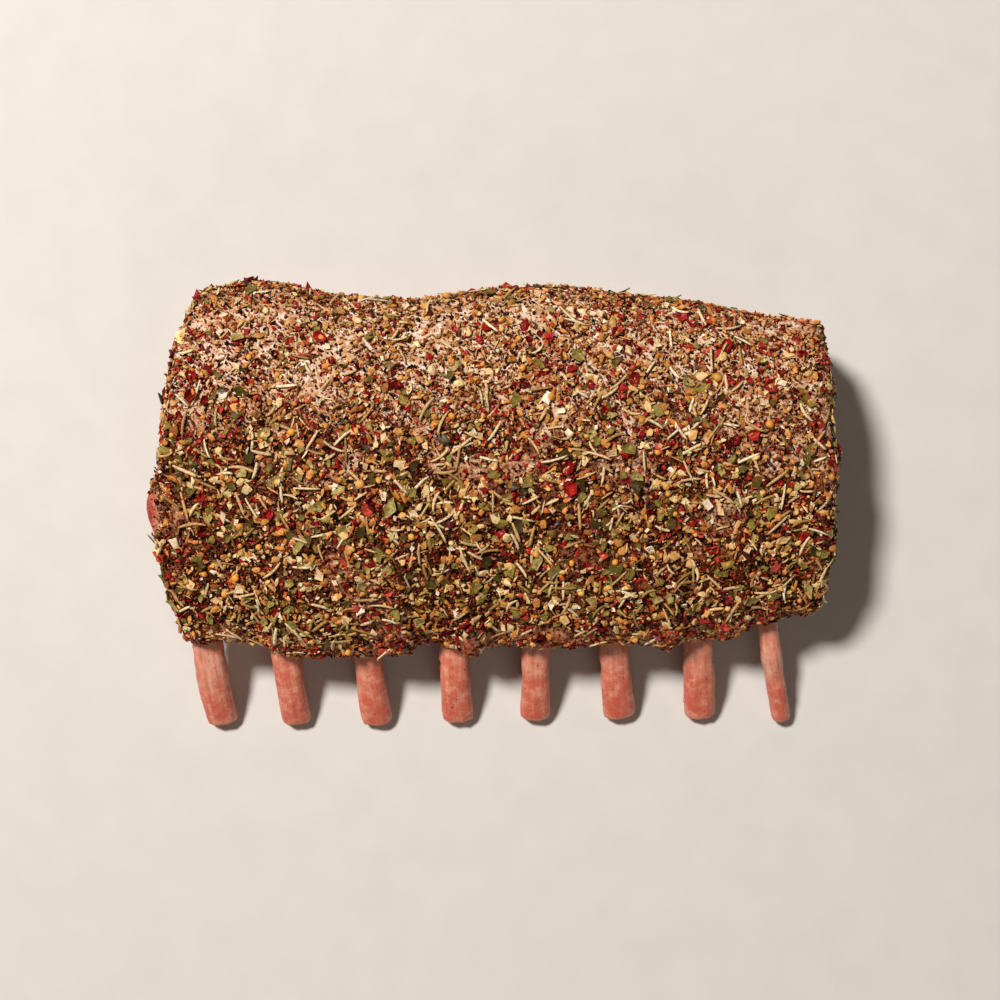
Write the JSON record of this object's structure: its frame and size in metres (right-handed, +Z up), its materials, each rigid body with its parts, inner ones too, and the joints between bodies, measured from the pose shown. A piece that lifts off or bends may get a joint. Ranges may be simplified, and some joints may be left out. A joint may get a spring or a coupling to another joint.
{
  "type": "pork rib roast",
  "caption": "Raw frenched rib roast of pork, lying bone side down, with bare rib ends and a herb-crusted fat cap.",
  "frame": {"origin": "on the surface the roast stands on, under the middle of its box", "axes": "+X along the rack, from the wide first rib to the narrow last rib; +Y towards the sawn chine side, away from the bare rib ends; +Z up"},
  "size_m": [0.2868, 0.1898, 0.0771],
  "materials": {
    "lean": "wet raw lean pork",
    "crusted_fat": "moist pale fat under a coarse herb rub",
    "bone": "moist scraped bone",
    "herbs": "dried leaf and needle flakes",
    "spices": "dried seeds, granules and pepper flakes"
  },
  "bodies": {
    "root": {"loin": "lean", "fat_cap": "crusted_fat", "rib_1": "bone", "rib_2": "bone", "rib_3": "bone", "rib_4": "bone", "rib_5": "bone", "rib_6": "bone", "rib_7": "bone", "rib_8": "bone"}
  },
  "joints": []
}
